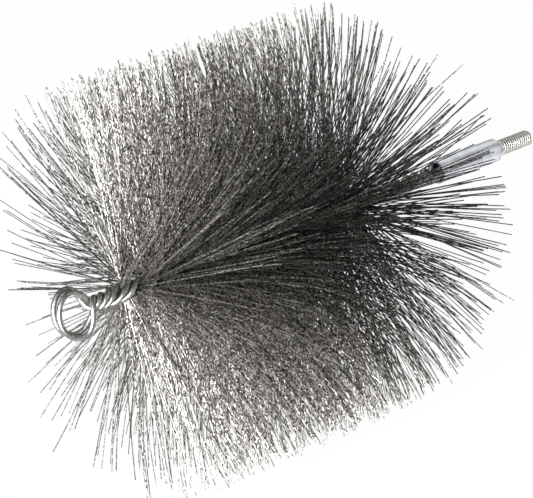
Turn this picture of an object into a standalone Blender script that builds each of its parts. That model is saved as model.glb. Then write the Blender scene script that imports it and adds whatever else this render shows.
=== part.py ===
"""Chimney sweep brush: two twisted stem wires with a ring eye, bristle rows, ferrule and stud.

Run with: blender --background --python part.py
Metres, +Z up. The stem lies along +X, with the stud at the +X end and the eye at the other.
The brush lies on its bristles, on z = 0.
"""
import math
import random

import bmesh
import bpy
from mathutils import Matrix, Vector

# From the eye's end to the stud's tip. The bristle pack takes what the other lengths leave
OVERALL_LENGTH = 0.2933

# Stem wires: each is one wire, with two legs in the twist and one ring of the eye
WIRE_DIAMETER = 0.0024
PIECE_GAP = 0.0003
WIRE_SIDES_RESOLUTION = 1
POINTS_PER_TURN = 12

# Twist: a left-hand one, tighter in the neck beside the eye than in the bristle pack
NECK_LEAD = 0.0146
NECK_TURNS = 0.814
NECK_LENGTH = 0.0137
NECK_WIRE_CIRCLE_RADIUS = 0.0027
STEM_ROLL = math.radians(24)
# The wires lie at a slant to the cross-section, and there they take this much of a slanted width
SLANT_CIRCLE_RADIUS = 0.0029
SIDE_ROOM_SHARE = 1.10
LIFT_ROOM_SHARE = 0.908

# Eye: the two wires go once round a pin side by side, and cross at the neck. The twist has
# pulled it longer across the stem than along it, and it hangs a little and is turned off the neck
EYE_RADIUS_ACROSS = 0.0102
EYE_RADIUS_ALONG = 0.0086
EYE_CENTRE_TO_NECK = 0.0104
EYE_DROP = 0.0014
EYE_TURN = math.radians(14)
REAR_RING_LIFT = 0.0012
REAR_RING_BACK = 0.0008
RING_PITCH = 0.0030
RING_START_ANGLE = math.radians(72)
RING_END_ANGLE = math.radians(300)
RING_POINTS = 22
BLEND_POINTS = 8
LEAVE_PULL_SHARE = 1.1
ARRIVE_PULL_SHARE = 1.0

# Bristle pack: one row for each half turn of the twist
BRUSH_RADIUS = 0.100
ROW_COUNT = 12
WIRES_PER_ROW = 18
REST_GIVE = 0.0016
RIBBON_THICKNESS = 0.0013
RIBBON_HALF_WIDTH = 0.0030
STRAND_THICKNESS = 0.00065
STRAND_TIP_THICKNESS = 0.00050
STRAND_STRAIGHT_RADIUS = 0.012
SHORTEST_STRAND_SHARE = 0.955
NEAR_SPLAY = math.radians(0.4)
NEAR_SPLAY_ROWS = 2
LEAST_SPLAY_SHARE = 0.2
MOST_SPLAY_SHARE = 2.2
# The last rows have been pushed back below, and less so above, where they lean out
FAR_SPLAY = math.radians(-3.5)
FAR_LEAN = math.radians(10.5)
FAR_LEAN_CLOCK = math.radians(122)
FAR_SPLAY_ROWS = 4
SWAY = math.radians(2.2)
CLOCK_JITTER = math.radians(1.6)
ROW_CLOCK_STEP_SHARE = 0.382
FLOOR_PARTING = math.radians(5)
FLOOR_REACH = math.radians(25)
SEED = 8

# Bare stem between the pack and the ferrule
TAIL_LENGTH = 0.0514

# Ferrule: a sleeve turned from round bar, bored from both ends
FERRULE_DIAMETER = 0.0117
FERRULE_LENGTH = 0.0400
FERRULE_WEB = 0.0030
FERRULE_MOUTH_CHAMFER = 0.0004
FERRULE_NOSE_CHAMFER = 0.0007
FERRULE_SEGMENTS = 48

# Stud: 5/16 inch Whitworth rod, screwed and brazed into the ferrule
STUD_DIAMETER = 0.00794
STUD_PROJECTION = 0.0231
STUD_SEAT_LENGTH = 0.0140
STUD_TIP_CHAMFER = 0.0008
STUD_SEGMENTS = 36

MERGE_DISTANCE = 0.00001

# Measuring the space between the wires: how far to look, along which shares of each step,
# and how many steps of the same wire to skip
GAP_REACH = 4 * WIRE_DIAMETER
GAP_STEP_SHARES = (0.0, 0.25, 0.5, 0.75)
GAP_SKIP = 8
MM = 1000

# Sizes that follow from the ones above
WIRE_RADIUS = WIRE_DIAMETER / 2
EYE_OUTER_END = EYE_RADIUS_ALONG + WIRE_RADIUS + REAR_RING_BACK
EYE_CENTRE_X = EYE_OUTER_END - OVERALL_LENGTH / 2
NECK_X = EYE_CENTRE_X + EYE_CENTRE_TO_NECK
PACK_START_X = NECK_X + NECK_LENGTH
STUD_TIP_X = OVERALL_LENGTH / 2
FERRULE_END_X = STUD_TIP_X - STUD_PROJECTION
FERRULE_X = FERRULE_END_X - FERRULE_LENGTH
PACK_END_X = FERRULE_X - TAIL_LENGTH
ROW_LENGTH = (PACK_END_X - PACK_START_X) / ROW_COUNT
PACK_LEAD = ROW_LENGTH * 2
STEM_HEIGHT = BRUSH_RADIUS - REST_GIVE
SLANT = math.hypot(1, math.tau * SLANT_CIRCLE_RADIUS / PACK_LEAD)
LEG_SIDE = (WIRE_RADIUS + PIECE_GAP / 2) * SLANT * SIDE_ROOM_SHARE
LEG_LIFT = (WIRE_DIAMETER + RIBBON_THICKNESS) / 2 * SLANT * LIFT_ROOM_SHARE + PIECE_GAP
PACK_WIRE_CIRCLE_RADIUS = math.hypot(LEG_SIDE, LEG_LIFT)
WIRE_BORE_RADIUS = PACK_WIRE_CIRCLE_RADIUS + WIRE_RADIUS + PIECE_GAP
WIRE_BORE_DEPTH = FERRULE_LENGTH - FERRULE_WEB - STUD_SEAT_LENGTH - PIECE_GAP
STUD_BORE_RADIUS = STUD_DIAMETER / 2 + PIECE_GAP
ROW_CLOCK_SPREAD = math.pi / WIRES_PER_ROW
NECK_RATE = math.tau / NECK_LEAD
PACK_RATE = math.tau / PACK_LEAD
NECK_TWIST = math.tau * NECK_TURNS

# Colours and finishes, as (red, green, blue), metallic, roughness
GALVANISED = ((0.36, 0.37, 0.36), 0.9, 0.42)
BRISTLE_STEEL = ((0.13, 0.125, 0.12), 0.9, 0.40)
ZINC_PLATE = ((0.56, 0.59, 0.64), 1.0, 0.28)
STUD_STEEL = ((0.52, 0.50, 0.46), 1.0, 0.32)


def clear_scene():
    """Remove what Blender starts with."""
    for item in list(bpy.data.objects):
        bpy.data.objects.remove(item, do_unlink=True)


def new_collection(name):
    """Make a collection in the scene."""
    collection = bpy.data.collections.new(name)
    bpy.context.scene.collection.children.link(collection)
    return collection


def make_material(name, finish):
    """A plain Principled material for one part."""
    colour, metallic, roughness = finish
    material = bpy.data.materials.new(name)
    material.use_nodes = True
    shader = material.node_tree.nodes["Principled BSDF"]
    shader.inputs["Base Color"].default_value = (*colour, 1.0)
    shader.inputs["Metallic"].default_value = metallic
    shader.inputs["Roughness"].default_value = roughness
    material.diffuse_color = (*colour, 1.0)
    return material


def add_object(name, data, finish, collection):
    """Put mesh or curve data into the parts collection as one named part."""
    item = bpy.data.objects.new(name, data)
    data.materials.append(make_material(name, finish))
    collection.objects.link(item)
    return item


def neck_angle(distance):
    """Turn of the twist at a distance from the eye end of the neck, eased from one rate to the other."""
    t = distance / NECK_LENGTH
    rate_start = NECK_RATE * NECK_LENGTH
    rate_end = PACK_RATE * NECK_LENGTH
    rise = t * t * (3 - 2 * t) * NECK_TWIST
    return rise + t * (1 - t) ** 2 * rate_start - t * t * (1 - t) * rate_end


def twist_angle(x):
    """Angle of the twist at x: it falls along +X, which makes the twist left-hand."""
    if x < PACK_START_X:
        return -neck_angle(x - NECK_X)
    return -NECK_TWIST - PACK_RATE * (x - PACK_START_X)


def cross_direction(angle):
    """Unit vector across the stem: angle zero faces -Y, a quarter turn points down."""
    rolled = angle - STEM_ROLL
    return Vector((0.0, -math.cos(rolled), -math.sin(rolled)))


def stem_point(x, across, lift):
    """A point given in the turning cross-section: across the ribbon and lifted off it."""
    angle = twist_angle(x)
    offset = cross_direction(angle + math.pi / 2) * across + cross_direction(angle) * lift
    return Vector((x, 0.0, STEM_HEIGHT)) + offset


def eye_point(x, down, front):
    """A point given in the eye's own plane: along the stem, down the ring, and off its face."""
    offset = cross_direction(EYE_TURN + math.pi / 2) * down + cross_direction(EYE_TURN) * front
    return Vector((x, 0.0, STEM_HEIGHT)) + offset


def leg_offsets(x):
    """How far a leg lies across the ribbon and off it: evenly spaced in the neck."""
    t = min(max((x - NECK_X) / NECK_LENGTH, 0.0), 1.0)
    eased = t * t * (3 - 2 * t)
    even = NECK_WIRE_CIRCLE_RADIUS / math.sqrt(2)
    return even + (LEG_SIDE - even) * eased, even + (LEG_LIFT - even) * eased


def leg_points(side, face, end_x):
    """Centre points of one leg, from the eye end of the neck to the ferrule."""
    points = []
    x = NECK_X
    while x < end_x:
        across, lift = leg_offsets(x)
        points.append(stem_point(x, side * across, face * lift))
        rate = NECK_RATE if x < PACK_START_X - NECK_LENGTH / 2 else PACK_RATE
        x += math.tau / rate / POINTS_PER_TURN
    across, lift = leg_offsets(end_x)
    points.append(stem_point(end_x, side * across, face * lift))
    return points


def blend(start, start_way, end, end_way, count):
    """Points of a smooth curve from start to end, without the two end points."""
    reach = (end - start).length
    leave = start_way.normalized() * reach * LEAVE_PULL_SHARE
    arrive = end_way.normalized() * reach * ARRIVE_PULL_SHARE
    points = []
    for step in range(1, count + 1):
        t = step / (count + 1)
        from_start = start * (2 * t**3 - 3 * t**2 + 1) + leave * (t**3 - 2 * t**2 + t)
        from_end = end * (3 * t**2 - 2 * t**3) + arrive * (t**3 - t**2)
        points.append(from_start + from_end)
    return points


def ring_points(centre_x, centre_down, front_start):
    """Points of one ring of the eye, moving back by two wire pitches as it goes round."""
    points = []
    for step in range(RING_POINTS + 1):
        t = step / RING_POINTS
        angle = RING_START_ANGLE + (RING_END_ANGLE - RING_START_ANGLE) * t
        x = centre_x + EYE_RADIUS_ALONG * math.cos(angle)
        down = centre_down + EYE_RADIUS_ACROSS * math.sin(angle)
        points.append(eye_point(x, down, front_start - 2 * RING_PITCH * t))
    return points


def wire_path(start_side, end_side, centre_x, centre_down, front_start):
    """Centre line of one stem wire: down one leg, round its ring and back up the other leg."""
    end_x = FERRULE_X + WIRE_BORE_DEPTH - PIECE_GAP - WIRE_RADIUS
    down_leg = leg_points(start_side, 1, end_x)
    up_leg = leg_points(end_side, -1, end_x)
    ring = ring_points(centre_x, centre_down, front_start)
    leaving = blend(down_leg[0], down_leg[0] - down_leg[1], ring[0], ring[1] - ring[0], BLEND_POINTS)
    coming = blend(ring[-1], ring[-1] - ring[-2], up_leg[0], up_leg[1] - up_leg[0], BLEND_POINTS)
    return down_leg[::-1] + leaving + ring + coming + up_leg


def make_wire(name, path, collection):
    """One unbroken round wire along a path."""
    curve = bpy.data.curves.new(name, "CURVE")
    curve.dimensions = "3D"
    curve.bevel_depth = WIRE_RADIUS
    curve.bevel_resolution = WIRE_SIDES_RESOLUTION
    curve.use_fill_caps = True
    curve.twist_mode = "MINIMUM"
    spline = curve.splines.new("POLY")
    spline.points.add(len(path) - 1)
    for point, place in zip(spline.points, path):
        point.co = (*place, 1.0)
    return add_object(name, curve, GALVANISED, collection)


def least_gap(path_a, path_b):
    """Least clear space between two wires, or of one wire to itself past a skipped stretch."""
    least = None
    same = path_a is path_b
    for i in range(len(path_a) - 1):
        a, a_way = path_a[i], path_a[i + 1] - path_a[i]
        for j in range(i + GAP_SKIP if same else 0, len(path_b) - 1):
            b, b_way = path_b[j], path_b[j + 1] - path_b[j]
            if (a - b).length > GAP_REACH:
                continue
            for share in GAP_STEP_SHARES:
                spot = a + a_way * share
                along = (spot - b).dot(b_way) / b_way.length_squared
                near = b + b_way * min(max(along, 0.0), 1.0)
                distance = (spot - near).length - WIRE_DIAMETER
                if least is None or distance < least:
                    least = distance
    return least


def end_sway(rng, outward, x):
    """Sway that the strands near the two ends of the pack have besides."""
    near_share = max(1 - (x - PACK_START_X) / ROW_LENGTH / NEAR_SPLAY_ROWS, 0.0)
    far_share = max(1 - (PACK_END_X - x) / ROW_LENGTH / FAR_SPLAY_ROWS, 0.0)
    lean_way = Vector((0.0, math.cos(FAR_LEAN_CLOCK), math.sin(FAR_LEAN_CLOCK)))
    far_sway = FAR_SPLAY + FAR_LEAN * outward.dot(lean_way)
    near_sway = NEAR_SPLAY * rng.uniform(LEAST_SPLAY_SHARE, MOST_SPLAY_SHARE)
    return far_share * far_sway - near_share * near_sway


def strand_way(rng, root, outward, row_clock):
    """Direction of one strand past its bend: swayed along the stem and turned about it."""
    sway = rng.uniform(-SWAY, SWAY) + end_sway(rng, outward, root.x)
    turn = Matrix.Rotation(row_clock + rng.uniform(-CLOCK_JITTER, CLOCK_JITTER), 3, "X")
    way = (turn @ outward) * math.cos(sway) + Vector((math.sin(sway), 0.0, 0.0))
    lean = math.atan2(way.y, -way.z)
    if abs(lean) < FLOOR_PARTING:
        way = Matrix.Rotation(math.copysign(FLOOR_PARTING, lean) - lean, 3, "X") @ way
    return way


def strand_stops(rng, root, outward, row_clock):
    """Bend point and tip of one strand. The lowest strands are cut where the floor holds them."""
    way = strand_way(rng, root, outward, row_clock)
    length = BRUSH_RADIUS * rng.uniform(SHORTEST_STRAND_SHARE, 1.0)
    if -way.z > math.cos(FLOOR_REACH):
        length = min(length, STEM_HEIGHT / -way.z)
    bend = root + outward * (STRAND_STRAIGHT_RADIUS - RIBBON_HALF_WIDTH)
    tip = Vector((root.x, 0.0, STEM_HEIGHT)) + way * length
    return bend, tip


def move_face(face, centre, way, thickness):
    """Set a four-sided face to a square of the given thickness, across the given way."""
    old_centre = face.calc_center_median()
    for vert in face.verts:
        offset = vert.co - old_centre
        offset -= way * offset.dot(way)
        vert.co = centre + offset.normalized() * thickness / math.sqrt(2)


def grow_strand(mesh, face, bend, tip):
    """Extrude one edge face of the ribbon into a strand with a bend in it."""
    stops = [
        (bend, STRAND_THICKNESS),
        (tip, STRAND_TIP_THICKNESS),
    ]
    place = face.calc_center_median()
    for stop, thickness in stops:
        result = bmesh.ops.extrude_discrete_faces(mesh, faces=[face])
        face = result["faces"][0]
        move_face(face, stop, (stop - place).normalized(), thickness)
        place = stop


def ribbon_slice(mesh, start_x, end_x):
    """A slab cut into one cell for each bristle wire, then twisted with the stem."""
    bmesh.ops.create_cube(mesh, size=2.0)
    long_edges = [edge for edge in mesh.edges if edge.verts[0].co.x * edge.verts[1].co.x < 0]
    bmesh.ops.subdivide_edges(mesh, edges=long_edges, cuts=WIRES_PER_ROW - 1, use_grid_fill=True)
    mesh.normal_update()
    edge_faces = [face for face in mesh.faces if abs(face.normal.y) > abs(face.normal.x + face.normal.z)]
    edge_faces.sort(key=strand_order)
    middle_x = (start_x + end_x) / 2
    half_length = (end_x - start_x) / 2
    for vert in mesh.verts:
        x = middle_x + half_length * vert.co.x
        across = vert.co.y * RIBBON_HALF_WIDTH
        vert.co = stem_point(x, across, vert.co.z * RIBBON_THICKNESS / 2)
    return edge_faces


def strand_order(face):
    """Place of a strand's face in the order of making, which no size changes: along, then side."""
    centre = face.calc_center_median()
    return round(centre.x * WIRES_PER_ROW), centre.y > 0


def make_bristle_row(index, rng, collection):
    """One half turn of the pack: its slice of packed middles with the strands on both edges."""
    start_x = PACK_START_X + index * ROW_LENGTH + PIECE_GAP / 2
    end_x = start_x + ROW_LENGTH - PIECE_GAP
    row_clock = ((index * ROW_CLOCK_STEP_SHARE) % 1.0 - 0.5) * ROW_CLOCK_SPREAD
    mesh = bmesh.new()
    edge_faces = ribbon_slice(mesh, start_x, end_x)
    for face in edge_faces:
        root = face.calc_center_median()
        outward = (root - Vector((root.x, 0.0, STEM_HEIGHT))).normalized()
        bend, tip = strand_stops(rng, root, outward, row_clock)
        grow_strand(mesh, face, bend, tip)
    bmesh.ops.recalc_face_normals(mesh, faces=mesh.faces)
    name = "bristle_row_{:02d}".format(index + 1)
    data = bpy.data.meshes.new(name)
    mesh.to_mesh(data)
    mesh.free()
    return add_object(name, data, BRISTLE_STEEL, collection)


def turned_part(name, profile, segments, finish, collection):
    """Revolve an open (x, radius) profile, which begins and ends on the axis, about the stem."""
    data = bpy.data.meshes.new(name)
    verts = [(x, 0.0, radius) for x, radius in profile]
    edges = [(i, i + 1) for i in range(len(profile) - 1)]
    data.from_pydata(verts, edges, [])
    item = add_object(name, data, finish, collection)
    item.location = (0.0, 0.0, STEM_HEIGHT)
    screw = item.modifiers.new("revolve", "SCREW")
    screw.axis = "X"
    screw.angle = math.tau
    screw.steps = segments
    screw.render_steps = segments
    screw.use_merge_vertices = True
    screw.merge_threshold = MERGE_DISTANCE
    screw.use_normal_calculate = True
    return item


def make_ferrule(collection):
    """Sleeve with a bore for the wire ends, a web, and a hole for the stud."""
    radius = FERRULE_DIAMETER / 2
    bore_end = FERRULE_X + WIRE_BORE_DEPTH
    hole_start = bore_end + FERRULE_WEB
    profile = [
        (bore_end, 0.0),
        (bore_end, WIRE_BORE_RADIUS),
        (FERRULE_X, WIRE_BORE_RADIUS),
        (FERRULE_X, radius - FERRULE_MOUTH_CHAMFER),
        (FERRULE_X + FERRULE_MOUTH_CHAMFER, radius),
        (FERRULE_END_X - FERRULE_NOSE_CHAMFER, radius),
        (FERRULE_END_X, radius - FERRULE_NOSE_CHAMFER),
        (FERRULE_END_X, STUD_BORE_RADIUS),
        (hole_start, STUD_BORE_RADIUS),
        (hole_start, 0.0),
    ]
    return turned_part("ferrule", profile, FERRULE_SEGMENTS, ZINC_PLATE, collection)


def make_stud(collection):
    """Stud with a chamfered tip, from its seat in the ferrule to its free end."""
    radius = STUD_DIAMETER / 2
    seat_x = FERRULE_END_X - STUD_SEAT_LENGTH
    profile = [
        (seat_x, 0.0),
        (seat_x, radius - STUD_TIP_CHAMFER),
        (seat_x + STUD_TIP_CHAMFER, radius),
        (STUD_TIP_X - STUD_TIP_CHAMFER, radius),
        (STUD_TIP_X, radius - STUD_TIP_CHAMFER),
        (STUD_TIP_X, 0.0),
    ]
    return turned_part("threaded_stud", profile, STUD_SEGMENTS, STUD_STEEL, collection)


def main():
    """Build every part."""
    clear_scene()
    parts = new_collection("chimney_sweep_brush")
    rear_x = EYE_CENTRE_X - REAR_RING_BACK
    rear_down = EYE_DROP - REAR_RING_LIFT
    path_a = wire_path(1, 1, rear_x, rear_down, RING_PITCH / 2)
    path_b = wire_path(-1, -1, EYE_CENTRE_X, EYE_DROP, RING_PITCH * 3 / 2)
    make_wire("stem_wire_a", path_a, parts)
    make_wire("stem_wire_b", path_b, parts)
    for text, first, second in (
        ("least gap of wire A to itself, mm:", path_a, path_a),
        ("least gap of wire B to itself, mm:", path_b, path_b),
        ("least gap between the wires, mm:", path_a, path_b),
    ):
        print(text, round(least_gap(first, second) * MM, 3))
    rng = random.Random(SEED)
    for index in range(ROW_COUNT):
        make_bristle_row(index, rng, parts)
    make_ferrule(parts)
    make_stud(parts)


main()
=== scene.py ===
"""Looks, camera and studio for the chimney sweep brush. Metres, +Z up, stem along +X."""
import math

import bmesh
import bpy
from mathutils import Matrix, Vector


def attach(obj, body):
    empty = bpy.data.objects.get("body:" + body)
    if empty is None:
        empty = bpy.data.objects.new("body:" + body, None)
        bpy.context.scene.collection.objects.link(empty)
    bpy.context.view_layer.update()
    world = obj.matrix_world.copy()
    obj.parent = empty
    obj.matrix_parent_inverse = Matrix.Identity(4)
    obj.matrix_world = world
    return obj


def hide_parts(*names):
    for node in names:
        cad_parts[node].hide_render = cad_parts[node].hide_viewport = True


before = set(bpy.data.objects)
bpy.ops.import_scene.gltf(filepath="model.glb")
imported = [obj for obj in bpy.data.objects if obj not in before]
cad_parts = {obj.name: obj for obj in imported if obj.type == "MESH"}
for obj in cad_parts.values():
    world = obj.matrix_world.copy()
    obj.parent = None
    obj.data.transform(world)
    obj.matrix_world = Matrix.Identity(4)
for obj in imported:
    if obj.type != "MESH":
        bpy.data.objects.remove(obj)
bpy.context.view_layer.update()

MM = 0.001
INCH = 0.0254

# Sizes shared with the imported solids
OVERALL_LENGTH = 0.2933
WIRE_DIAMETER = 0.0024
PIECE_GAP = 0.0003
NECK_LEAD = 0.0146
NECK_TURNS = 0.814
NECK_LENGTH = 0.0137
NECK_WIRE_CIRCLE_RADIUS = 0.0027
STEM_ROLL = math.radians(24)
SLANT_CIRCLE_RADIUS = 0.0029
SIDE_ROOM_SHARE = 1.10
LIFT_ROOM_SHARE = 0.908
EYE_RADIUS_ACROSS = 0.0102
EYE_RADIUS_ALONG = 0.0086
EYE_CENTRE_TO_NECK = 0.0104
EYE_DROP = 0.0014
EYE_TURN = math.radians(14)
REAR_RING_LIFT = 0.0012
REAR_RING_BACK = 0.0008
RING_PITCH = 0.0030
RING_START_ANGLE = math.radians(72)
RING_END_ANGLE = math.radians(300)
LEAVE_PULL_SHARE = 1.1
ARRIVE_PULL_SHARE = 1.0
BRUSH_RADIUS = 0.100
ROW_COUNT = 12
REST_GIVE = 0.0016
RIBBON_THICKNESS = 0.0013
TAIL_LENGTH = 0.0514
FERRULE_LENGTH = 0.0400
FERRULE_WEB = 0.0030
STUD_PROJECTION = 0.0231
STUD_SEAT_LENGTH = 0.0140

EYE_OUTER_END = EYE_RADIUS_ALONG + WIRE_DIAMETER / 2 + REAR_RING_BACK
EYE_CENTRE_X = EYE_OUTER_END - OVERALL_LENGTH / 2
NECK_X = EYE_CENTRE_X + EYE_CENTRE_TO_NECK
PACK_START_X = NECK_X + NECK_LENGTH
STUD_TIP_X = OVERALL_LENGTH / 2
FERRULE_END_X = STUD_TIP_X - STUD_PROJECTION
FERRULE_X = FERRULE_END_X - FERRULE_LENGTH
PACK_END_X = FERRULE_X - TAIL_LENGTH
ROW_LENGTH = (PACK_END_X - PACK_START_X) / ROW_COUNT
PACK_LEAD = ROW_LENGTH * 2
STEM_HEIGHT = BRUSH_RADIUS - REST_GIVE
SLANT = math.hypot(1, math.tau * SLANT_CIRCLE_RADIUS / PACK_LEAD)
LEG_SIDE = (WIRE_DIAMETER + PIECE_GAP) / 2 * SLANT * SIDE_ROOM_SHARE
LEG_LIFT = (WIRE_DIAMETER + RIBBON_THICKNESS) / 2 * SLANT * LIFT_ROOM_SHARE + PIECE_GAP
WIRE_BORE_DEPTH = FERRULE_LENGTH - FERRULE_WEB - STUD_SEAT_LENGTH - PIECE_GAP
NECK_RATE = math.tau / NECK_LEAD
PACK_RATE = math.tau / PACK_LEAD
NECK_TWIST = math.tau * NECK_TURNS

# Stem wires as shown: a little thicker than the solids, so that they touch as the real ones do
SHOWN_WIRE_DIAMETER = 0.00262
SHOWN_EYE_CLEARANCE = 0.00005
SHOWN_EYE_INSET = (SHOWN_WIRE_DIAMETER - WIRE_DIAMETER) / 2 + SHOWN_EYE_CLEARANCE
WIRE_POINTS_PER_TURN = 24
RING_POINTS = 40
BLEND_POINTS = 14
WIRE_SIDES_RESOLUTION = 4

# Bristle pack as shown: the first rows are thinner, as at the left of the photograph
STRANDS_PER_ROW = 280
NEAR_ROW_STRANDS = (150, 220, 260)
STRAND_DIAMETER = 0.00050
STRAND_STEPS = 5
STRAND_SIDES = 4
STRAND_ROOT_RADIUS = 0.0012
STRAND_REACH = 0.0998
SHORTEST_STRAND_SHARE = 0.945
SPOT_RANGE = (0.1, 0.9)
SWAY = math.radians(3.0)
SWAY_DRAW_SHARE = 0.7
FAN = math.radians(7.5)
TUFT_SIZE = 0.0085
TUFT_SHARE = 0.22
TUFT_PULL_RANGE = (0.2, 1.0)
CURL = 0.022
STRAY_SHARE = 0.035
STRAY_CURL = 0.16
CURL_RANGE = (0.2, 1.6)

# How the first rows lean towards the eye, and the last ones back and to one side
NEAR_SPLAY = math.radians(0.8)
NEAR_LEAN = math.radians(2.6)
NEAR_LEAN_CLOCK = math.radians(-25)
NEAR_LEAN_RANGE = (-0.4, 2.6)
NEAR_SPLAY_ROWS = 1.5
FAR_SPLAY = math.radians(-4.5)
FAR_LEAN = math.radians(12.5)
FAR_LEAN_CLOCK = math.radians(125)
FAR_SPLAY_ROWS = 4

# Ferrule and stud as shown
FERRULE_RADIUS = 0.00585
FERRULE_BORE_RADIUS = 0.0047
FERRULE_STEPS = 96
FERRULE_SHARP_ANGLE = math.radians(35)
CORNER_STEPS = 4
MOUTH_EDGE_RADIUS = 0.0004
MOUTH_CHAMFER = 0.0003
NOSE_EDGE_RADIUS = 0.0007
BEAD_OUTER_RADIUS = 0.0048
BEAD_CREST_RADIUS = 0.0045
BEAD_HEIGHT = 0.00012
BEAD_DIP = 0.0002
STUD_HOLE_RADIUS = 0.0042
STUD_RADIUS = 0.00397
STUD_SHARP_ANGLE = math.radians(50)
SHOWN_SEAT_SHARE = 0.5
THREAD_PITCH = INCH / 18
THREAD_DEPTH = 0.64 * THREAD_PITCH
THREAD_STEEPNESS = 1.5
THREAD_STEPS_PER_TURN = 48
THREAD_SLICES_PER_PITCH = 12
PLAIN_NECK_LENGTH = 0.0036
PLAIN_NECK_CUT = 0.00012
PLAIN_NECK_SLICES = (0.0004, 0.0014)
STUD_TIP_CHAMFER = 0.0009
STUD_TIP_SLOPE = 0.9

# The wave texture makes 20 / 2 pi waves in each unit of its scale
WAVE_FACTOR = 20
TURNING_MARK_PITCH = 0.35 * MM * math.tau

# Camera, from the photograph's fit
IMAGE_WIDTH = 533
CAMERA_AZIMUTH = math.radians(-39.73)
CAMERA_ELEVATION = math.radians(27.74)
CAMERA_DISTANCE = 1.2
CAMERA_TARGET = Vector((-0.0247, 0.0, 0.0923))
FOCAL_PIXELS = 2564.4
SENSOR_WIDTH_MM = 36.0
CLIP_START = 0.01
CLIP_END = 50.0

# Studio: the way towards its bright side, where its shade begins, and the levels on the two sides
SOFT_LIGHT_WAY = Vector((-0.87, -0.34, 0.36))
SHADE_FROM = -0.1
SHADE_SIDE_LEVEL = 0.05
LIGHT_SIDE_LEVEL = 0.80
FLOOR_RADIUS = 6.0
FLOOR_SEGMENTS = 64
FLOOR_GLOW_SHARE = 0.96
LIT_FLOOR_X = -0.20
DIM_FLOOR_X = 0.07
LIT_FLOOR_LEVEL = 1.0

# Square soft lamps: name, place, the point it faces, size, and power in watts
BRUSH_MIDDLE = (0.0, 0.0, STEM_HEIGHT)
LAMPS = (
    ("key", (-1.32, -0.74, 0.85), BRUSH_MIDDLE, 0.30, 46.0),
    ("low_front", (-1.34, -0.76, 0.16), BRUSH_MIDDLE, 0.30, 84.0),
    ("over_ferrule", (0.31, 0.18, 0.38), (FERRULE_X, 0.0, STEM_HEIGHT), 0.35, 0.5),
    ("beside_ferrule", (0.29, -0.24, 0.26), (FERRULE_END_X, 0.0, STEM_HEIGHT), 0.30, 0.36),
)


def srgb(code):
    """An sRGB hex colour such as "8a8784", as linear red, green, blue and alpha."""
    values = [int(code[i:i + 2], 16) / 255 for i in (0, 2, 4)]
    linear = [v / 12.92 if v <= 0.04045 else ((v + 0.055) / 1.055) ** 2.4 for v in values]
    return (*linear, 1.0)


def add_node(tree, kind, inputs=None, **settings):
    """Add a node, set its properties, and give its inputs values, or links from other nodes."""
    node = tree.nodes.new(kind)
    for name, value in settings.items():
        setattr(node, name, value)
    for key, value in (inputs or {}).items():
        sockets = [socket for socket in node.inputs if socket.enabled]
        by_place = isinstance(key, int)
        socket = sockets[key] if by_place else next(s for s in sockets if s.name == key)
        if isinstance(value, bpy.types.Node):
            value = next(output for output in value.outputs if output.enabled)
        if isinstance(value, bpy.types.NodeSocket):
            tree.links.new(value, socket)
        else:
            socket.default_value = value
    return node


def new_material(name):
    """A material with its Principled shader: the tree, the shader and the object coordinates."""
    material = bpy.data.materials.new(name)
    material.use_nodes = True
    tree = material.node_tree
    shader = tree.nodes["Principled BSDF"]
    place = add_node(tree, "ShaderNodeTexCoord").outputs["Object"]
    return material, tree, shader, place


def ramp(tree, factor, stops):
    """The colour that a ramp of (position, hex colour) stops gives for a factor."""
    node = add_node(tree, "ShaderNodeValToRGB", {"Fac": factor})
    elements = node.color_ramp.elements
    while len(elements) < len(stops):
        elements.new(1.0)
    for element, (position, code) in zip(elements, stops):
        element.position = position
        element.color = srgb(code)
    return node.outputs["Color"]


def noise(tree, place, cells_per_metre, detail):
    """A soft random pattern: 900 cells per metre make patches of about a millimetre."""
    return add_node(tree, "ShaderNodeTexNoise", {
        "Vector": place, "Scale": cells_per_metre, "Detail": detail})


def finish_metal(tree, shader, colour, pattern, rough_range, height, strength, distance):
    """Give a metal its colour, a roughness from a pattern and a bump from a height."""
    tree.links.new(colour, shader.inputs["Base Color"])
    rough = add_node(tree, "ShaderNodeMapRange", {
        "Value": pattern, "To Min": rough_range[0], "To Max": rough_range[1]})
    tree.links.new(rough.outputs[0], shader.inputs["Roughness"])
    bump = add_node(tree, "ShaderNodeBump", {
        "Height": height, "Strength": strength, "Distance": distance})
    tree.links.new(bump.outputs[0], shader.inputs["Normal"])
    shader.inputs["Metallic"].default_value = 1.0


def galvanised_wire():
    """Hot-dip galvanised steel wire: dull grey zinc, mottled, with a slightly uneven coat."""
    material, tree, shader, place = new_material("galvanised_steel_wire")
    mottle = noise(tree, place, 900.0, 4.0)
    broad = noise(tree, place, 140.0, 2.0)
    mix = add_node(tree, "ShaderNodeMath", {0: mottle, 1: 0.6}, operation="MULTIPLY")
    both = add_node(tree, "ShaderNodeMath", {0: broad, 1: 0.4, 2: mix}, operation="MULTIPLY_ADD")
    colour = ramp(tree, both, ((0.33, "686867"), (0.50, "8a8a88"), (0.66, "ababa9")))
    finish_metal(tree, shader, colour, mottle, (0.32, 0.48), mottle, 0.45, 0.00008)
    return material


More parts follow.
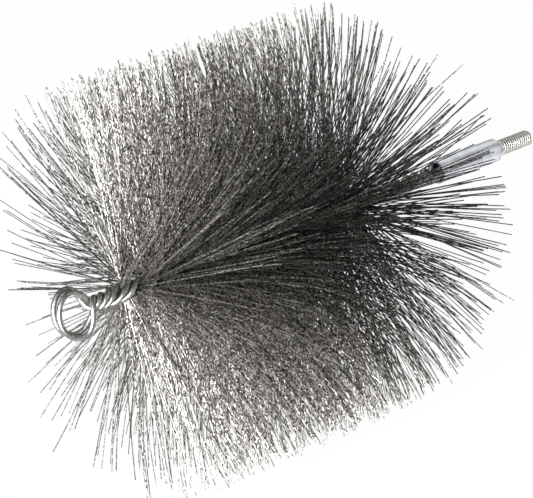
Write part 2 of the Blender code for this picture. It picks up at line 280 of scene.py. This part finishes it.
def bristle_wire():
    """Hard-drawn steel wire, bare: dull grey with painted glints as bright specks along it, each
    strand its own tone.
    """
    material, tree, shader, place = new_material("drawn_steel_bristle")
    tone = add_node(tree, "ShaderNodeAttribute", attribute_name="strand_tone").outputs["Fac"]
    # Each strand has its own stretch of the pattern, so that neighbours don't match
    shift = add_node(tree, "ShaderNodeCombineXYZ", {"X": tone, "Y": tone, "Z": tone})
    own_place = add_node(tree, "ShaderNodeVectorMath", {0: place, 1: shift}, operation="ADD")
    # Painted glints: this noise makes bright specks along each strand in place of broken
    # highlights, far coarser than real drawing marks; it also sets the roughness and bump.
    glint_and_roughness_noise = noise(tree, own_place, 800.0, 2.0)
    painted_glints = add_node(tree, "ShaderNodeMath", {
        0: glint_and_roughness_noise, 1: 1.9, 2: -0.60}, operation="MULTIPLY_ADD")
    both = add_node(tree, "ShaderNodeMath", {
        0: tone, 1: 0.35, 2: painted_glints}, operation="MULTIPLY_ADD")
    # The ramp's near-white end paints the glints; the per-strand tone gives random lighter and
    # darker strands.
    colour = ramp(tree, both, (
        (0.18, "2a2825"), (0.46, "625f5b"), (0.68, "aba8a3"), (0.92, "f0eeea")))
    finish_metal(tree, shader, colour, glint_and_roughness_noise, (0.20, 0.38), glint_and_roughness_noise, 0.3, 0.00003)
    return material


def zinc_plate():
    """Bright zinc plate on turned mild steel: bluish silver, faint clouds and turning marks."""
    material, tree, shader, place = new_material("zinc_plated_turned_steel")
    cloud = noise(tree, place, 190.0, 5.0)
    colour = ramp(tree, cloud, ((0.32, "c3c7cd"), (0.50, "d6dadf"), (0.68, "e6e9ed")))
    # Turning marks every 2.2 mm, coarser than real ones, which would be too fine to see
    marks = add_node(tree, "ShaderNodeTexWave", {
        "Vector": place, "Scale": math.tau / TURNING_MARK_PITCH / WAVE_FACTOR,
        "Distortion": 1.2}, bands_direction="X")
    finish_metal(tree, shader, colour, cloud, (0.36, 0.52), marks, 0.10, 0.00002)
    return material


def stud_steel():
    """Rolled-thread steel: warm silver crests, painted shade in the thread roots, heat blotches at
    its neck.
    """
    material, tree, shader, place = new_material("rolled_thread_steel")
    along = add_node(tree, "ShaderNodeSeparateXYZ", {"Vector": place}).outputs["X"]
    neck_share = add_node(tree, "ShaderNodeMapRange", {
        "Value": along, "From Min": FERRULE_END_X + 0.5 * PLAIN_NECK_LENGTH,
        "From Max": FERRULE_END_X + 1.5 * PLAIN_NECK_LENGTH, "To Min": 1.0, "To Max": 0.25})
    stain = noise(tree, place, 620.0, 2.0)
    centred = add_node(tree, "ShaderNodeMath", {0: stain, 1: 0.5}, operation="SUBTRACT")
    blotch = add_node(tree, "ShaderNodeMath", {
        0: centred, 1: neck_share.outputs[0], 2: 0.5}, operation="MULTIPLY_ADD")
    metal = ramp(tree, blotch, ((0.34, "98958f"), (0.50, "dcdad5"), (0.66, "f2f0ec")))
    # Painted shade: the colour darkens from the crests towards the thread roots, where shade falls
    # in the grooves
    off_axis = add_node(tree, "ShaderNodeVectorMath", {
        0: place, 1: (0.0, 0.0, STEM_HEIGHT)}, operation="SUBTRACT")
    across = add_node(tree, "ShaderNodeVectorMath", {
        0: off_axis, 1: (0.0, 1.0, 1.0)}, operation="MULTIPLY")
    radius = add_node(tree, "ShaderNodeVectorMath", {0: across}, operation="LENGTH")
    depth = add_node(tree, "ShaderNodeMapRange", {
        "Value": radius, "From Min": STUD_RADIUS - THREAD_DEPTH, "From Max": STUD_RADIUS})
    painted_root_shade = ramp(tree, depth.outputs[0], ((0.0, "4e4c48"), (0.32, "8c8a86"), (0.66, "ffffff")))
    colour = add_node(tree, "ShaderNodeMix", {
        "Factor": 1.0, "A": metal, "B": painted_root_shade}, data_type="RGBA", blend_type="MULTIPLY")
    finish_metal(
        tree, shader, colour.outputs["Result"], blotch, (0.34, 0.50), blotch, 0.15, 0.00003)
    return material


def ease(t):
    """A smooth step from 0 to 1."""
    return t * t * (3 - 2 * t)


def neck_angle(distance):
    """Turn of the twist at a distance along the neck, eased from one rate to the other."""
    t = distance / NECK_LENGTH
    leaving = t * (1 - t) ** 2 * NECK_RATE * NECK_LENGTH
    arriving = t * t * (1 - t) * PACK_RATE * NECK_LENGTH
    return ease(t) * NECK_TWIST + leaving - arriving


def twist_angle(x):
    """Angle of the twist at x: it falls along +X, which makes the twist left-hand."""
    if x < PACK_START_X:
        return -neck_angle(x - NECK_X)
    return -NECK_TWIST - PACK_RATE * (x - PACK_START_X)


def cross_direction(angle):
    """Unit vector across the stem: angle zero faces -Y, a quarter turn points down."""
    rolled = angle - STEM_ROLL
    return Vector((0.0, -math.cos(rolled), -math.sin(rolled)))


def stem_point(x, across, lift):
    """A point given in the turning cross-section: across the ribbon and lifted off it."""
    angle = twist_angle(x)
    offset = cross_direction(angle + math.pi / 2) * across + cross_direction(angle) * lift
    return Vector((x, 0.0, STEM_HEIGHT)) + offset


def eye_point(x, down, front):
    """A point given in the eye's own plane: along the stem, down the ring, and off its face."""
    offset = cross_direction(EYE_TURN + math.pi / 2) * down + cross_direction(EYE_TURN) * front
    return Vector((x, 0.0, STEM_HEIGHT)) + offset


def leg_offsets(x):
    """How far a leg lies across the ribbon and off it: evenly spaced in the neck."""
    eased = ease(min(max((x - NECK_X) / NECK_LENGTH, 0.0), 1.0))
    even = NECK_WIRE_CIRCLE_RADIUS / math.sqrt(2)
    return even + (LEG_SIDE - even) * eased, even + (LEG_LIFT - even) * eased


def leg_points(side, face, end_x):
    """Centre points of one leg, from the eye end of the neck to the ferrule."""
    steps = math.ceil((end_x - NECK_X) / PACK_LEAD * WIRE_POINTS_PER_TURN)
    points = []
    for step in range(steps + 1):
        x = NECK_X + (end_x - NECK_X) * step / steps
        across, lift = leg_offsets(x)
        points.append(stem_point(x, side * across, face * lift))
    return points


def blend(start, start_way, end, end_way):
    """Points of a smooth curve from start to end, without the two end points."""
    reach = (end - start).length
    leave = start_way.normalized() * reach * LEAVE_PULL_SHARE
    arrive = end_way.normalized() * reach * ARRIVE_PULL_SHARE
    points = []
    for step in range(1, BLEND_POINTS + 1):
        t = step / (BLEND_POINTS + 1)
        from_start = start * (2 * t**3 - 3 * t**2 + 1) + leave * (t**3 - 2 * t**2 + t)
        from_end = end * (3 * t**2 - 2 * t**3) + arrive * (t**3 - t**2)
        points.append(from_start + from_end)
    return points


def ring_points(centre_x, centre_down, front_start):
    """Points of one ring of the eye, moving back by two wire pitches as it goes round."""
    points = []
    for step in range(RING_POINTS + 1):
        t = step / RING_POINTS
        angle = RING_START_ANGLE + (RING_END_ANGLE - RING_START_ANGLE) * t
        x = centre_x + (EYE_RADIUS_ALONG - SHOWN_EYE_INSET) * math.cos(angle)
        down = centre_down + (EYE_RADIUS_ACROSS - SHOWN_EYE_INSET) * math.sin(angle)
        points.append(eye_point(x, down, front_start - 2 * RING_PITCH * t))
    return points


def wire_path(start_side, end_side, centre_x, centre_down, front_start):
    """Centre line of one stem wire: down one leg, round its ring and back up the other leg."""
    end_x = FERRULE_X + WIRE_BORE_DEPTH - PIECE_GAP - WIRE_DIAMETER / 2
    down_leg = leg_points(start_side, 1, end_x)
    up_leg = leg_points(end_side, -1, end_x)
    ring = ring_points(centre_x, centre_down, front_start)
    leaving = blend(down_leg[0], down_leg[0] - down_leg[1], ring[0], ring[1] - ring[0])
    coming = blend(ring[-1], ring[-1] - ring[-2], up_leg[0], up_leg[1] - up_leg[0])
    return down_leg[::-1] + leaving + ring + coming + up_leg


def link(item):
    """Put an object into the scene."""
    bpy.context.scene.collection.objects.link(item)
    return item


def plain_mesh(item, name):
    """The evaluated shape of an object as a plain mesh object of its own; the old object goes."""
    graph = bpy.context.evaluated_depsgraph_get()
    mesh = bpy.data.meshes.new_from_object(item.evaluated_get(graph))
    bpy.data.objects.remove(item)
    mesh.name = name
    return link(bpy.data.objects.new(name, mesh))


def finish_piece(piece, nodes):
    """Let a piece ride with the one body and stand for its solids, which are hidden."""
    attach(piece, "root")
    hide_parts(*nodes)


def make_wire(name, node, path, material):
    """One round wire along its centre line, with smooth sides."""
    curve = bpy.data.curves.new(name + "_line", "CURVE")
    curve.dimensions = "3D"
    curve.bevel_depth = SHOWN_WIRE_DIAMETER / 2
    curve.bevel_resolution = WIRE_SIDES_RESOLUTION
    curve.use_fill_caps = True
    curve.twist_mode = "MINIMUM"
    spline = curve.splines.new("POLY")
    spline.points.add(len(path) - 1)
    for point, place in zip(spline.points, path):
        point.co = (*place, 1.0)
    spline.use_smooth = True
    curve.materials.append(material)
    piece = plain_mesh(link(bpy.data.objects.new(name + "_line", curve)), name)
    finish_piece(piece, [node])


ROW_INPUTS = {
    "NodeSocketInt": ("Strands", "Seed"),
    "NodeSocketFloat": (
        "Row Start", "Row Length", "Start Angle", "Twist Rate", "Stem Height", "Root Radius",
        "Packed Thickness", "Reach", "Shortest Share", "Strand Diameter", "Sway", "Fan",
        "Near Share Start", "Near Share End", "Near Splay", "Near Lean", "Near Lean Clock",
        "Far Share Start", "Far Share End", "Far Splay", "Far Lean", "Far Lean Clock",
        "Tuft Size", "Tuft Share", "Curl", "Stray Share", "Stray Curl",
    ),
    "NodeSocketMaterial": ("Material",),
}


def row_tree():
    """Geometry Nodes tree of one bristle row: strands leave the twisted stem on both sides."""
    tree = bpy.data.node_groups.new("bristle_row", "GeometryNodeTree")
    for kind, names in ROW_INPUTS.items():
        for name in names:
            tree.interface.new_socket(name, in_out="INPUT", socket_type=kind)
    tree.interface.new_socket("Geometry", in_out="OUTPUT", socket_type="NodeSocketGeometry")
    given = add_node(tree, "NodeGroupInput").outputs

    def maths(operation, *values):
        """One step of arithmetic on fields, through the node adder."""
        return add_node(tree, "ShaderNodeMath", dict(enumerate(values)), operation=operation)

    def draw(low, high, salt):
        """A random number for each strand, with its own salt."""
        seed = maths("ADD", given["Seed"], float(salt))
        return add_node(tree, "FunctionNodeRandomValue", {"Min": low, "Max": high, "Seed": seed})

    def mix(factor, start, end):
        """A number between two others, by a share."""
        return add_node(tree, "ShaderNodeMix", {"Factor": factor, "A": start, "B": end})

    def vector(x, y, z):
        """A vector from its three parts."""
        return add_node(tree, "ShaderNodeCombineXYZ", {"X": x, "Y": y, "Z": z})

    def vector_maths(operation, *values):
        """One step of arithmetic on vectors."""
        return add_node(
            tree, "ShaderNodeVectorMath", dict(enumerate(values)), operation=operation)

    def scaled(way, size):
        """A vector times a number."""
        return add_node(
            tree, "ShaderNodeVectorMath", {"Vector": way, "Scale": size}, operation="SCALE")

    # Where each strand leaves the stem
    index = add_node(tree, "GeometryNodeInputIndex")
    pair = maths("FLOOR", maths("DIVIDE", index, 2.0))
    side = maths("MODULO", index, 2.0)
    spot = maths("ADD", pair, draw(*SPOT_RANGE, 1))
    share = maths("DIVIDE", spot, maths("MULTIPLY", given["Strands"], 0.5))
    along = maths("MULTIPLY", share, given["Row Length"])
    x = maths("ADD", along, given["Row Start"])
    turned = maths("MULTIPLY_ADD", along, given["Twist Rate"], given["Start Angle"])
    angle = maths("MULTIPLY_ADD", side, math.pi, turned)
    cos_out = maths("COSINE", angle)
    sin_out = maths("SINE", angle)
    outward = vector(0.0, maths("MULTIPLY", cos_out, -1.0), maths("MULTIPLY", sin_out, -1.0))
    lift = vector(0.0, maths("MULTIPLY", sin_out, -1.0), cos_out)
    layer = maths("MULTIPLY", draw(-0.5, 0.5, 2), given["Packed Thickness"])
    centre = vector(x, 0.0, given["Stem Height"])
    edge = vector_maths("ADD", centre, scaled(outward, given["Root Radius"]))
    root = vector_maths("ADD", edge, scaled(lift, layer))

    # Which way it points: sway along the stem, fan round it
    fan = maths("MULTIPLY", draw(-1.0, 1.0, 3), given["Fan"])
    fanned = maths("ADD", angle, fan)
    clock = maths("ADD", fanned, math.pi)
    far_out = maths("COSINE", maths("SUBTRACT", clock, given["Far Lean Clock"]))
    far_sway = maths("MULTIPLY_ADD", far_out, given["Far Lean"], given["Far Splay"])
    far_share = mix(share, given["Far Share Start"], given["Far Share End"])
    near_out = maths("COSINE", maths("SUBTRACT", clock, given["Near Lean Clock"]))
    near_lean = maths("MULTIPLY_ADD", near_out, given["Near Lean"], given["Near Splay"])
    near_share = mix(share, given["Near Share Start"], given["Near Share End"])
    near_part = maths("MULTIPLY", near_share, near_lean)
    near_sway = maths("MULTIPLY", near_part, draw(*NEAR_LEAN_RANGE, 4))
    two_draws = maths("ADD", draw(-1.0, 1.0, 5), draw(-1.0, 1.0, 6))
    own = maths("MULTIPLY", two_draws, maths("MULTIPLY", given["Sway"], SWAY_DRAW_SHARE))
    sway = maths("SUBTRACT", maths("MULTIPLY_ADD", far_share, far_sway, own), near_sway)
    cos_sway = maths("COSINE", sway)
    way = vector(
        maths("SINE", sway),
        maths("MULTIPLY", maths("MULTIPLY", maths("COSINE", fanned), -1.0), cos_sway),
        maths("MULTIPLY", maths("MULTIPLY", maths("SINE", fanned), -1.0), cos_sway),
    )
    length = maths("MULTIPLY", given["Reach"], draw(given["Shortest Share"], 1.0, 7))
    aim = vector_maths("ADD", centre, scaled(way, length))

    # Neighbours lean together into tufts, drawn towards the middle of the cell they end in
    cell = add_node(tree, "ShaderNodeTexVoronoi", {
        "Vector": aim, "Scale": maths("DIVIDE", 1.0, given["Tuft Size"]), "Randomness": 1.0})
    tufted = add_node(tree, "ShaderNodeMix", {
        "Factor": maths("MULTIPLY", draw(*TUFT_PULL_RANGE, 8), given["Tuft Share"]),
        "A": aim, "B": cell.outputs["Position"]}, data_type="VECTOR")
    tip_way = vector_maths("NORMALIZE", vector_maths("SUBTRACT", tufted, centre))

    # A slight curl, and a strong one in a few strays
    stray = maths("LESS_THAN", draw(0.0, 1.0, 9), given["Stray Share"])
    amount = mix(stray, given["Curl"], given["Stray Curl"])
    curl_clock = draw(0.0, math.tau, 10)
    curl_size = maths("MULTIPLY", amount, draw(*CURL_RANGE, 11))
    curl_out = vector_maths("CROSS_PRODUCT", tip_way, vector(1.0, 0.0, 0.0))
    curl_one = scaled(curl_out, maths("MULTIPLY", maths("COSINE", curl_clock), curl_size))
    curl_two = vector(maths("MULTIPLY", maths("SINE", curl_clock), curl_size), 0.0, 0.0)
    curl = vector_maths("ADD", curl_one, curl_two)
    bent_length = vector_maths("LENGTH", vector_maths("ADD", tip_way, curl))
    clear = maths("SUBTRACT", length, given["Root Radius"])
    fitted = maths("DIVIDE", clear, bent_length)
    reach_way = scaled(tip_way, fitted)
    curl_way = scaled(curl, fitted)

    points = add_node(tree, "GeometryNodePoints", {"Count": given["Strands"]})
    stored = points
    for name, kind, value in (
        ("strand_root", "FLOAT_VECTOR", root),
        ("strand_way", "FLOAT_VECTOR", reach_way),
        ("strand_curl", "FLOAT_VECTOR", curl_way),
        ("strand_tone", "FLOAT", draw(0.0, 1.0, 12)),
    ):
        stored = add_node(tree, "GeometryNodeStoreNamedAttribute", {
            "Geometry": stored, "Name": name, "Value": value}, data_type=kind, domain="POINT")
    line = add_node(tree, "GeometryNodeCurvePrimitiveLine", {
        "Start": (0.0, 0.0, 0.0), "End": (0.0, 0.0, 1.0)})
    stepped = add_node(tree, "GeometryNodeResampleCurve", {
        "Curve": line, "Count": STRAND_STEPS + 1})
    copies = add_node(tree, "GeometryNodeInstanceOnPoints", {
        "Points": stored, "Instance": stepped})
    curves = add_node(tree, "GeometryNodeRealizeInstances", {"Geometry": copies})

    # Bend each copy of the line into its strand, and keep it off the floor
    reads = [
        add_node(tree, "GeometryNodeInputNamedAttribute", {"Name": name}, data_type="FLOAT_VECTOR")
        for name in ("strand_root", "strand_way", "strand_curl")
    ]
    step = add_node(tree, "GeometryNodeSplineParameter").outputs["Factor"]
    first = scaled(reads[1], step)
    second = scaled(reads[2], maths("MULTIPLY", step, step))
    place = vector_maths("ADD", vector_maths("ADD", reads[0], first), second)
    parts = add_node(tree, "ShaderNodeSeparateXYZ", {"Vector": place}).outputs
    strand_radius = maths("MULTIPLY", given["Strand Diameter"], 0.5)
    kept = vector(parts["X"], parts["Y"], maths("MAXIMUM", parts["Z"], strand_radius))
    shaped = add_node(tree, "GeometryNodeSetPosition", {"Geometry": curves, "Position": kept})
    section = add_node(tree, "GeometryNodeCurvePrimitiveCircle", {
        "Resolution": STRAND_SIDES, "Radius": strand_radius})
    solid = add_node(tree, "GeometryNodeCurveToMesh", {
        "Curve": shaped, "Profile Curve": section, "Fill Caps": True})
    cleaned = add_node(tree, "GeometryNodeSetShadeSmooth", {
        "Geometry": solid, "Shade Smooth": True})
    for name in ("strand_root", "strand_way", "strand_curl"):
        cleaned = add_node(tree, "GeometryNodeRemoveAttribute", {
            "Geometry": cleaned, "Name": name})
    whole = add_node(tree, "GeometryNodeRealizeInstances", {"Geometry": cleaned})
    coated = add_node(tree, "GeometryNodeSetMaterial", {
        "Geometry": whole, "Material": given["Material"]})
    add_node(tree, "NodeGroupOutput", {"Geometry": coated})
    return tree


def make_bristle_row(number, tree, material):
    """One row of strands, in place of the row of plain ones."""
    start = (number - 1) * ROW_LENGTH
    end = start + ROW_LENGTH
    pack_length = ROW_LENGTH * ROW_COUNT
    near_reach = NEAR_SPLAY_ROWS * ROW_LENGTH
    far_reach = FAR_SPLAY_ROWS * ROW_LENGTH
    start_x = PACK_START_X + start
    values = {
        "Strands": (*NEAR_ROW_STRANDS, *[STRANDS_PER_ROW] * ROW_COUNT)[number - 1],
        "Seed": number * 100,
        "Row Start": start_x,
        "Row Length": ROW_LENGTH,
        "Start Angle": twist_angle(start_x) + math.pi / 2 - STEM_ROLL,
        "Twist Rate": -PACK_RATE,
        "Stem Height": STEM_HEIGHT,
        "Root Radius": STRAND_ROOT_RADIUS,
        "Packed Thickness": RIBBON_THICKNESS,
        "Reach": STRAND_REACH,
        "Shortest Share": SHORTEST_STRAND_SHARE,
        "Strand Diameter": STRAND_DIAMETER,
        "Sway": SWAY,
        "Fan": FAN,
        "Near Share Start": max(1 - start / near_reach, 0.0),
        "Near Share End": max(1 - end / near_reach, 0.0),
        "Near Splay": NEAR_SPLAY,
        "Near Lean": NEAR_LEAN,
        "Near Lean Clock": NEAR_LEAN_CLOCK,
        "Far Share Start": max(1 - (pack_length - start) / far_reach, 0.0),
        "Far Share End": max(1 - (pack_length - end) / far_reach, 0.0),
        "Far Splay": FAR_SPLAY,
        "Far Lean": FAR_LEAN,
        "Far Lean Clock": FAR_LEAN_CLOCK,
        "Tuft Size": TUFT_SIZE,
        "Tuft Share": TUFT_SHARE,
        "Curl": CURL,
        "Stray Share": STRAY_SHARE,
        "Stray Curl": STRAY_CURL,
        "Material": material,
    }
    name = "bristles_{:02d}".format(number)
    holder = link(bpy.data.objects.new(name + "_maker", bpy.data.meshes.new(name + "_maker")))
    modifier = holder.modifiers.new("strands", "NODES")
    modifier.node_group = tree
    for item in tree.interface.items_tree:
        if item.in_out == "INPUT":
            modifier[item.identifier] = values[item.name]
    piece = plain_mesh(holder, name)
    finish_piece(piece, ["bristle_row_{:02d}".format(number)])


def around_stem(mesh, x, radius, angle):
    """A new vertex at a radius and an angle round the stem's line."""
    offset = radius * math.sin(angle)
    return mesh.verts.new((x, radius * math.cos(angle), STEM_HEIGHT + offset))


def solid_piece(name, mesh, material, sharp_angle):
    """An object from a closed shape, with its edges sharp from an angle on."""
    bmesh.ops.recalc_face_normals(mesh, faces=mesh.faces)
    data = bpy.data.meshes.new(name)
    mesh.to_mesh(data)
    mesh.free()
    data.materials.append(material)
    data.set_sharp_from_angle(angle=sharp_angle)
    return link(bpy.data.objects.new(name, data))


def lathe(name, profile, material):
    """A closed turned piece from an (x, radius) profile that begins and ends on the axis."""
    mesh = bmesh.new()
    steps = FERRULE_STEPS
    rings = []
    for x, radius in profile:
        count = steps if radius > 0.0 else 1
        rings.append([
            around_stem(mesh, x, radius, math.tau * step / steps) for step in range(count)])
    for first, second in zip(rings, rings[1:]):
        for step in range(steps):
            following = (step + 1) % steps
            corners = [first[step % len(first)], first[following % len(first)]]
            corners += [second[following % len(second)], second[step % len(second)]]
            unique = list(dict.fromkeys(corners))
            if len(unique) > 2:
                mesh.faces.new(unique)
    for face in mesh.faces:
        face.smooth = True
    return solid_piece(name, mesh, material, FERRULE_SHARP_ANGLE)


def rounded(corner_x, corner_radius, size, facing):
    """Profile points of a rounded corner, from the side to the end that faces -1 or 1."""
    points = []
    for step in range(CORNER_STEPS + 1):
        angle = math.pi / 2 * step / CORNER_STEPS
        points.append((
            corner_x - facing * size * (1 - math.sin(angle)),
            corner_radius - size * (1 - math.cos(angle)),
        ))
    return points


def make_ferrule(material):
    """Turned sleeve with a broken edge at its mouth, and a soft edge and a bead at its nose."""
    bore_end = FERRULE_X + WIRE_BORE_DEPTH
    seat_end = FERRULE_END_X - STUD_SEAT_LENGTH
    profile = [
        (bore_end, 0.0),
        (bore_end, FERRULE_BORE_RADIUS),
        (FERRULE_X + MOUTH_CHAMFER, FERRULE_BORE_RADIUS),
        (FERRULE_X, FERRULE_BORE_RADIUS + MOUTH_CHAMFER),
        *rounded(FERRULE_X, FERRULE_RADIUS, MOUTH_EDGE_RADIUS, -1)[::-1],
        *rounded(FERRULE_END_X, FERRULE_RADIUS, NOSE_EDGE_RADIUS, 1),
        (FERRULE_END_X, BEAD_OUTER_RADIUS),
        (FERRULE_END_X + BEAD_HEIGHT, BEAD_CREST_RADIUS),
        (FERRULE_END_X - BEAD_DIP, STUD_HOLE_RADIUS),
        (seat_end, STUD_HOLE_RADIUS),
        (seat_end, 0.0),
    ]
    piece = lathe("turned_ferrule", profile, material)
    finish_piece(piece, ["ferrule"])


def thread_cut(turns):
    """Depth of the thread after some turns: rounded crests and roots between steep flanks."""
    wave = math.tanh(THREAD_STEEPNESS * math.cos(math.tau * turns))
    return THREAD_DEPTH * (1 - (0.5 + 0.5 * wave / math.tanh(THREAD_STEEPNESS)))


def make_stud(material):
    """Stud with a real right-hand thread, a plain neck at the ferrule and a bevelled tip."""
    thread_x = FERRULE_END_X + PLAIN_NECK_LENGTH
    slices = [FERRULE_END_X - STUD_SEAT_LENGTH * SHOWN_SEAT_SHARE]
    slices += [FERRULE_END_X + distance for distance in PLAIN_NECK_SLICES]
    fine = THREAD_PITCH / THREAD_SLICES_PER_PITCH
    x = thread_x - THREAD_PITCH
    while x < STUD_TIP_X - fine / 2:
        slices.append(x)
        x += fine
    slices.append(STUD_TIP_X)
    mesh = bmesh.new()
    rings = []
    for x in slices:
        ring = []
        # The thread runs in from the plain neck over one pitch
        fade = min(max((x - thread_x) / THREAD_PITCH + 0.5, 0.0), 1.0)
        bevel = max(0.0, STUD_TIP_CHAMFER - (STUD_TIP_X - x)) * STUD_TIP_SLOPE
        for step in range(THREAD_STEPS_PER_TURN):
            turn = step / THREAD_STEPS_PER_TURN
            cut = thread_cut(x / THREAD_PITCH + turn) * fade + PLAIN_NECK_CUT * (1 - fade)
            ring.append(around_stem(mesh, x, STUD_RADIUS - max(cut, bevel), math.tau * turn))
        rings.append(ring)
    for first, second in zip(rings, rings[1:]):
        for step in range(THREAD_STEPS_PER_TURN):
            following = (step + 1) % THREAD_STEPS_PER_TURN
            mesh.faces.new((first[step], first[following], second[following], second[step]))
    mesh.faces.new(rings[0])
    mesh.faces.new(rings[-1])
    for face in mesh.faces:
        face.smooth = len(face.verts) == 4
    piece = solid_piece("screwed_stud", mesh, material, STUD_SHARP_ANGLE)
    finish_piece(piece, ["threaded_stud"])


def stage_material():
    """White floor: almost pure white to the camera, with a trace of the brush's shadow."""
    material = bpy.data.materials.new("white_sweep")
    material.use_nodes = True
    tree = material.node_tree
    tree.nodes.clear()
    rays = add_node(tree, "ShaderNodeLightPath").outputs
    white = add_node(tree, "ShaderNodeBsdfDiffuse", {"Color": srgb("e6e6e6")})
    glow = add_node(tree, "ShaderNodeEmission", {"Color": srgb("ffffff"), "Strength": 1.0})
    bright = add_node(tree, "ShaderNodeMixShader", {0: FLOOR_GLOW_SHARE, 1: white, 2: glow})
    # The steel mirrors a lit floor on the eye's side, which falls off under the brush
    along = add_node(tree, "ShaderNodeSeparateXYZ", {
        "Vector": add_node(tree, "ShaderNodeTexCoord").outputs["Object"]}).outputs["X"]
    lit = add_node(tree, "ShaderNodeMapRange", {
        "Value": along, "From Min": LIT_FLOOR_X, "From Max": DIM_FLOOR_X,
        "To Min": LIT_FLOOR_LEVEL, "To Max": 0.0})
    mirrored_share = add_node(tree, "ShaderNodeMath", {
        0: lit, 1: rays["Is Glossy Ray"]}, operation="MULTIPLY")
    mirrored = add_node(tree, "ShaderNodeMixShader", {0: mirrored_share, 1: white, 2: glow})
    share = add_node(tree, "ShaderNodeMixShader", {
        0: rays["Is Camera Ray"], 1: mirrored, 2: bright})
    add_node(tree, "ShaderNodeOutputMaterial", {"Surface": share})
    return material


def make_stage():
    """Plain floor."""
    mesh = bmesh.new()
    bmesh.ops.create_circle(mesh, cap_ends=True, segments=FLOOR_SEGMENTS, radius=FLOOR_RADIUS)
    data = bpy.data.meshes.new("floor")
    mesh.to_mesh(data)
    mesh.free()
    data.materials.append(stage_material())
    link(bpy.data.objects.new("floor", data))


def make_world():
    """White to the camera, and a grey studio with one bright side for what lights the brush."""
    world = bpy.data.worlds.new("studio")
    bpy.context.scene.world = world
    world.use_nodes = True
    tree = world.node_tree
    tree.nodes.clear()
    rays = add_node(tree, "ShaderNodeLightPath").outputs
    # The photograph's soft light comes from the eye's end, a little from above and in front
    way = add_node(tree, "ShaderNodeTexCoord").outputs["Generated"]
    facing = add_node(tree, "ShaderNodeVectorMath", {
        0: way, 1: SOFT_LIGHT_WAY}, operation="DOT_PRODUCT")
    level = add_node(tree, "ShaderNodeMapRange", {
        "Value": facing, "From Min": SHADE_FROM, "From Max": 1.0,
        "To Min": SHADE_SIDE_LEVEL, "To Max": LIGHT_SIDE_LEVEL})
    room = add_node(tree, "ShaderNodeBackground", {"Color": srgb("ffffff"), "Strength": level})
    white = add_node(tree, "ShaderNodeBackground", {"Color": srgb("ffffff"), "Strength": 1.0})
    share = add_node(tree, "ShaderNodeMixShader", {0: rays["Is Camera Ray"], 1: room, 2: white})
    add_node(tree, "ShaderNodeOutputWorld", {"Surface": share})


def make_lamp(name, place, target, size, power):
    """A square soft lamp that faces a point."""
    data = bpy.data.lights.new(name, "AREA")
    data.size = size
    data.energy = power
    lamp = link(bpy.data.objects.new(name, data))
    lamp.location = place
    lamp.rotation_euler = (Vector(target) - Vector(place)).to_track_quat("-Z", "Y").to_euler()


def make_camera():
    """Camera at the photograph's angle and distance."""
    data = bpy.data.cameras.new("camera")
    data.sensor_width = SENSOR_WIDTH_MM
    data.lens = FOCAL_PIXELS / IMAGE_WIDTH * SENSOR_WIDTH_MM
    data.clip_start = CLIP_START
    data.clip_end = CLIP_END
    camera = link(bpy.data.objects.new("camera", data))
    flat = math.cos(CAMERA_ELEVATION)
    way = Vector((
        flat * math.sin(CAMERA_AZIMUTH),
        -flat * math.cos(CAMERA_AZIMUTH),
        math.sin(CAMERA_ELEVATION),
    ))
    camera.location = CAMERA_TARGET + way * CAMERA_DISTANCE
    camera.rotation_euler = (-way).to_track_quat("-Z", "Y").to_euler()
    bpy.context.scene.camera = camera


def main():
    """Build the camera, the studio and every piece."""
    make_camera()
    make_world()
    make_stage()
    for lamp in LAMPS:
        make_lamp(*lamp)

    zinc_wire = galvanised_wire()
    rear_x = EYE_CENTRE_X - REAR_RING_BACK
    rear_down = EYE_DROP - REAR_RING_LIFT
    path_a = wire_path(1, 1, rear_x, rear_down, RING_PITCH / 2)
    path_b = wire_path(-1, -1, EYE_CENTRE_X, EYE_DROP, RING_PITCH * 3 / 2)
    make_wire("twisted_wire_a", "stem_wire_a", path_a, zinc_wire)
    make_wire("twisted_wire_b", "stem_wire_b", path_b, zinc_wire)

    tree = row_tree()
    drawn_wire = bristle_wire()
    for number in range(1, ROW_COUNT + 1):
        make_bristle_row(number, tree, drawn_wire)
    make_ferrule(zinc_plate())
    make_stud(stud_steel())

    bpy.context.scene.view_settings.view_transform = "Standard"


main()
